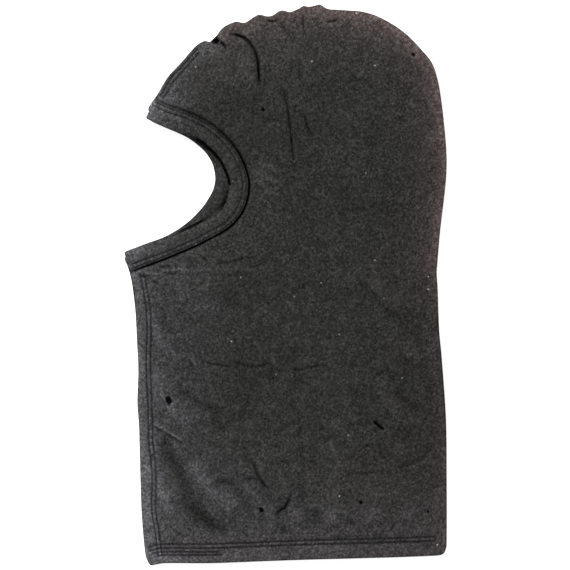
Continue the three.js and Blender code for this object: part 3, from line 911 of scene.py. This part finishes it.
def band_section(run, slip):
    """One closed section of the strip: its face, its fold, the face beneath, and its inside.

    Gives places across the strip, the same places with the fold slipped outwards, and heights.
    """
    rise = band_height(face_places, run)
    fold_across = face_places[-1] - fold_reach * np.sin(fold_turn)
    inner = half_panel + 0.12
    hollow_across = [14.9, 14.6, 1.3, 0.9, 1.3, 14.6, 14.9]
    hollow_rise = [-inner - 0.4, -inner, -inner, 0, inner, inner, inner + 0.4]
    across = np.concatenate([face_places, fold_across, face_places[::-1], hollow_across])
    height = np.concatenate([rise, rise[-1] * np.cos(fold_turn), -rise[::-1], hollow_rise])
    return across, across - slip * bell(across, 7), height


paths = {side: evenly(trimmed(face_line[side], 2.6, 3.2), station_gap) for side in ("left", "right")}
intos = {side: leftward(paths[side]) for side in paths}
quarter_turn = np.array([[0, -1], [1, 0]])
chin_way = intos["left"][-1] @ quarter_turn
brow_way = -intos["left"][0] @ quarter_turn
turns = np.arange(1, turn_steps) * math.pi / turn_steps
chin = (paths["left"][-1] + paths["right"][-1]) / 2
brow = (paths["left"][0] + paths["right"][0]) / 2

# Each station: a place on the raw edge, the way into the cloth, the way out where the strip turns
# from one panel to the other, and how far round it has turned.
stations = [(p, n, 0 * n, 0) for p, n in zip(paths["left"], intos["left"])]
stations += [(chin, intos["left"][-1], chin_way * math.sin(a), a) for a in turns]
right_start = len(stations)
stations += [(p, n, 0 * n, math.pi) for p, n in zip(paths["right"][::-1], intos["right"][::-1])]
stations += [(brow, intos["left"][0], brow_way * math.sin(a), math.pi + a) for a in turns]

# Shade is painted under the strip's fold where it hangs over the layer below: places along the strip
# from its join, and how deep the painted shade is at each.
gloom_from_join = [-58, -44, -1, 1, 16, 26, 38, 54, 66]
gloom = [0, 1, 1, 0.6, 1, 0.2, 1, 0.9, 0]
row_shade, edge_shade = 0.85, 0.5  # how dark the painted shade is in a needle row's furrow, and at the edge
sections, pressed = [], []
for i, (spot, into, out_way, angle) in enumerate(stations):
    run = i * station_gap
    from_join = run - join_run
    past_join = smoothstep(from_join, 0, 0.8) * (1 - smoothstep(from_join, 6, 24))
    slip = 0.25 * noise.noise(Vector((run / 9, 4.2, 0))) + join_step * past_join
    across, slipped, rise = band_section(run, slip)
    spots = spot + np.outer(slipped, into)
    upper = lie(spots, "left") - half_panel
    lower = lie(spots, "right") + half_panel
    reach = (upper - lower) / 2 + rise
    spots = spots + np.outer(reach, out_way)
    heights = (upper + lower) / 2 + math.cos(angle) * reach
    sections.append(np.column_stack([spots, heights]))
    # Painted shade in the needle rows' furrows, under the fold, and along the sewn edge.
    painted_row_shade = row_shade * np.max([bell(across - row, 0.5) for row in binding_rows], axis=0)
    on_fold = (1 - smoothstep(across, 0.9, 1.8)) * smoothstep(rise, -1.4, -0.4)
    painted_fold_shade = np.interp(from_join, gloom_from_join, gloom) * on_fold
    edge = edge_shade * smoothstep(across, 14.3, 14.75)
    pressed.append(np.max([painted_row_shade, painted_fold_shade, edge], axis=0))


def joined(sections, size, closed):
    """Faces between each section of so many points and the next, and from last to first if closed."""
    faces = []
    for i in range(sections if closed else sections - 1):
        k = (i + 1) % sections
        for j in range(size):
            m = (j + 1) % size
            faces.append((i * size + j, i * size + m, k * size + m, k * size + j))
    return faces


faces = joined(len(sections), len(sections[0]), closed=True)
sections = np.vstack(sections)
faded, warm = painted_edge_sheen(sections[:, :2])
faded *= 0.8  # the strip is given less painted sheen than the panels
binding_strip = new_piece(
    "face_binding_strip", sections, faces, pressed=np.concatenate(pressed), faded=faded, warm=warm,
)

# The same cloth, cut from another length of it: a shade paler where it is fresh.
binding_jersey = knitted_jersey("binding_cotton_jersey", "#363635", "#5C5C5F", "#5D5756")
binding_strip.data.materials.append(binding_jersey)
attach(binding_strip, "root")
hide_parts("left_face_binding", "right_face_binding")


# ---- Stitch rows ----
# Black spun polyester thread. On the outside each needle leaves a row of short straight stitches
# that sink into the cloth at both ends. One stitch is made and copied along every row.

stitch_gap = 0.35  # of cloth showing between two stitches, where the needle went down
thread_radius = 0.25
end_dip = 0.32  # how far a stitch's ends go down into the cloth
thread_rise = 0.12  # a stitch's middle line above the cloth

bpy.ops.mesh.primitive_uv_sphere_add(segments=8, ring_count=6, radius=1)
one_stitch = bpy.context.object
bpy.ops.object.mode_set(mode="EDIT")
bpy.ops.transform.rotate(value=math.pi / 2, orient_axis="Y", center_override=(0, 0, 0))
bpy.ops.transform.resize(value=((stitch_length - stitch_gap) / 2, thread_radius, thread_radius))
bpy.ops.object.mode_set(mode="OBJECT")
stitch_shape = np.array([v.co[:] for v in one_stitch.data.vertices])
stitch_shape[:, 2] -= end_dip * (2 * stitch_shape[:, 0] / stitch_length) ** 2

# A triangle's last corner is given twice, so that every face has four.
stitch_faces = np.array([
    face.vertices[:] + face.vertices[-1:] * (4 - len(face.vertices)) for face in one_stitch.data.polygons
])
bpy.data.objects.remove(one_stitch)

# Spun polyester thread, dyed black: two plies twisted together give it fine slanting bands, and
# its fuzz of short fibres keeps it from shining.
twist_gap = 0.5  # between two bands of the twist
black_thread = new_material("black_spun_polyester")
thread_place = add_node(black_thread, "ShaderNodeTexCoord").outputs["Object"]
twist = add_node(
    black_thread, "ShaderNodeTexWave",
    {"bands_direction": "DIAGONAL", "Scale": wave_turn / (twist_gap * MM), "Distortion": 1.5},
    {"Vector": thread_place},
).outputs["Fac"]
twist_bump = add_node(
    black_thread, "ShaderNodeBump", {"Strength": 0.4, "Distance": 0.1 * MM}, {"Height": twist}
)
thread_shader = add_node(
    black_thread, "ShaderNodeBsdfPrincipled", {"Base Color": linear("#161617"), "Roughness": 0.75},
    {"Normal": twist_bump.outputs[0]},
)
add_node(black_thread, "ShaderNodeOutputMaterial", links={"Surface": thread_shader.outputs[0]})


def finish_thread(piece, cad_node):
    piece.data.materials.append(black_thread)
    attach(piece, "root")
    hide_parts(cad_node)
    return piece


def sew_row(name, cad_node, line, heights, out):
    """Copies the stitch along a line at the given heights. out is 1 on the upper side, -1 below."""
    places = evenly(np.column_stack([line, heights]), stitch_length)
    vertices, faces = [], []
    for start, end in zip(places, places[1:]):
        run = (end - start) / np.linalg.norm(end - start)
        aside = np.cross((0, 0, out), run)
        aside /= np.linalg.norm(aside)
        numbered = stitch_faces + len(vertices) * len(stitch_shape)
        faces += [tuple(dict.fromkeys(face)) for face in numbered.tolist()]
        vertices.append((start + end) / 2 + stitch_shape @ np.array([run, aside, np.cross(run, aside)]))
    return finish_thread(new_piece(name, np.vstack(vertices), faces), cad_node)


threads = {"left": [], "right": [], "binding": []}
row_end = 3  # stations at each end of a binding row, where the strip turns and no stitch is made
for side, out in (("left", 1), ("right", -1)):
    path, into = paths[side], intos[side]
    run = np.arange(len(path)) * station_gap
    if side == "right":
        run = (right_start + len(path) - 1) * station_gap - run
    for row, label in zip(binding_rows, ("outer", "inner")):
        line = path + into * row
        rise = np.array([band_height(row, r) for r in run]) - half_panel + thread_rise
        heights = lie(line, side) + out * rise
        sewn = slice(row_end, -row_end)
        name = f"{side}_binding_{label}"
        threads["binding"].append(
            sew_row(f"{name}_thread", f"{name}_stitch_row", line[sewn], heights[sewn], out)
        )

for name, line in seam_rows.items():
    for side, out in (("left", 1), ("right", -1)):
        if side == "right" and name not in right_rows:
            continue
        whole_name = f"{side}_{name}" if name in right_rows else name
        heights = outer_face(line, side)[0] + out * thread_rise
        threads[side].append(
            sew_row(f"{whole_name}_thread", f"{whole_name}_stitch_row", line, heights, out)
        )

# A short row across the strip closes its two ends into a ring.
join_station = round(join_run / station_gap)
join_across = np.linspace(1.6, 8.4, 9)
join_line = paths["left"][join_station] + np.outer(join_across, intos["left"][join_station])
join_rise = band_height(join_across, join_run) - half_panel + thread_rise
join_heights = lie(join_line, "left") + join_rise
threads["binding"].append(
    sew_row("binding_join_thread", "binding_join_stitch", join_line, join_heights, 1)
)


# ---- Looper threads ----
# The same black thread on the inside of the hem and the binding, one length to each. It runs to
# and fro between the two needle rows, caught by each stitch, and lies flat on the inner cloth.

looper_trim = 26  # it stops where the two sides close up
looper_steps = 8  # points to each stitch
looper_radius = 0.2


def lay_thread(name, cad_node, places, radius):
    """A thread along places in millimetres: a curve with a round section, made a mesh."""
    curve = bpy.data.curves.new(name, "CURVE")
    curve.dimensions = "3D"
    curve.bevel_depth = radius * MM
    curve.bevel_resolution = 1
    curve.use_fill_caps = True
    spline = curve.splines.new("POLY")
    spline.points.add(len(places) - 1)
    spline.points.foreach_set("co", np.column_stack([places * MM, np.ones(len(places))]).ravel())
    thread = bpy.data.objects.new(name, curve)
    bpy.context.collection.objects.link(thread)
    make_active(thread)
    bpy.ops.object.convert(target="MESH")
    return finish_thread(turn_out(thread), cad_node)


def to_and_fro(line, middle, half_width):
    """Places that wave from one needle row to the other along a line, once to each stitch."""
    fine = evenly(line, stitch_length / looper_steps)
    phase = np.arange(len(fine)) * 2 * math.pi / looper_steps
    return fine + leftward(fine) * (middle + half_width * np.sin(phase))[:, None]


half_gauge = needle_gauge / 2
for side, out in (("left", 1), ("right", -1)):
    sewn_neck = trimmed(neck_line, looper_trim, looper_trim)
    places = to_and_fro(sewn_neck, hem_rows[0] + half_gauge, half_gauge)
    inner_face = outer_face(places, side)[0] - out * (2 * edge_roll + thread_rise)
    name = f"{side}_hem_looper"
    threads[side].append(
        lay_thread(name, f"{name}_thread", np.column_stack([places, inner_face]), looper_radius)
    )
    sewn_face = trimmed(paths[side], looper_trim, looper_trim)
    places = to_and_fro(sewn_face, binding_rows[1] + half_gauge, half_gauge)
    inner_face = lie(places, side) - out * (half_panel + band_height(binding_rows[1], 0) + looper_radius)
    name = f"{side}_binding_looper"
    threads["binding"].append(
        lay_thread(name, f"{name}_thread", np.column_stack([places, inner_face]), looper_radius)
    )


# ---- Seam allowances ----
# Inside each seam the two panels' raw edges lie together as a double strip of jersey, pressed
# against the left panel. The front and brow ones are held there by their needle rows.

ply_thickness = 1.1
ply_round = 0.3  # how far the raw edges are rounded
allowance_start = 3.4  # from the seam: the plies turned in at the edge come first
allowance_gap = 0.2  # under the panel


def eased(line, reach):
    """A line with its small waves taken out."""
    weights = np.ones(2 * reach + 1) / (2 * reach + 1)
    return np.column_stack([np.convolve(line[:, k], weights, "valid") for k in (0, 1)])


def lay_allowance(name, line, width):
    """A double strip of cloth, from near the seam out to its raw edges, just under the left panel."""
    middle = (allowance_start + width) / 2
    rounded = width - ply_round
    bottom = -2 * ply_thickness
    profile = [
        (allowance_start, 0), (middle, 0), (rounded, 0), (width, -ply_round), (rounded, -ply_thickness),
        (width, bottom + ply_round), (rounded, bottom), (middle, bottom), (allowance_start, bottom),
    ]
    vertices = []
    into = leftward(line)
    size = len(profile)
    for across, depth in profile:
        spots = line + into * across
        top = outer_face(spots, "left")[0] - cloth_thickness - allowance_gap
        vertices.append(np.column_stack([spots, top + depth]))
    vertices = np.stack(vertices, axis=1).reshape(-1, 3)
    faces = joined(len(line), size, closed=False)
    faces.append(list(range(size)))
    faces.append(list(range(len(vertices) - size, len(vertices))))
    none = np.zeros(len(vertices))
    piece = new_piece(name, vertices, faces, pressed=none, faded=none, warm=none)
    bpy.ops.object.shade_smooth_by_angle(angle=math.radians(40))
    piece.data.materials.append(jersey)
    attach(piece, "root")
    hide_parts(name.replace("_plies", ""))
    return piece


# Where each runs, clear of the hem and the binding, and how wide it is.
allowances = {
    "front": (trimmed(eased(front_line, 3), binding_width + 4, hem_depth + 3), 14),
    "brow": (trimmed(eased(brow_line, 2), 3, binding_width + 4), 8.5),
    "crown": (trimmed(eased(back_line, 9), hem_depth + 3, 14), 7),
}
plies = [
    lay_allowance(f"{name}_seam_allowance_plies", line, width)
    for name, (line, width) in allowances.items()
]


# ---- Overlock threads ----
# The allowances' raw edges are overlocked: the black thread goes round and round both plies, a
# turn every 1.8 mm, so that the knit can't run.

overlock_pitch = 1.8
overlock_steps = 8  # points to each turn
overlock_width = 1.8  # half the width of a turn, across the allowance
overlock_height = ply_thickness + 0.12  # half of a turn's height, round both plies
overlock_radius = 0.16
past_raw_edge = 0.3

for name, (line, width) in allowances.items():
    fine = evenly(line, overlock_pitch / overlock_steps)
    phase = np.arange(len(fine)) * 2 * math.pi / overlock_steps
    across = width - overlock_width + past_raw_edge + overlock_width * np.cos(phase)
    spots = fine + leftward(fine) * across[:, None]
    middle = outer_face(spots, "left")[0] - cloth_thickness - allowance_gap - ply_thickness
    places = np.column_stack([spots, middle + overlock_height * np.sin(phase)])
    threads["left"].append(
        lay_thread(f"{name}_seam_overlock", f"{name}_seam_overlock_thread", places, overlock_radius)
    )
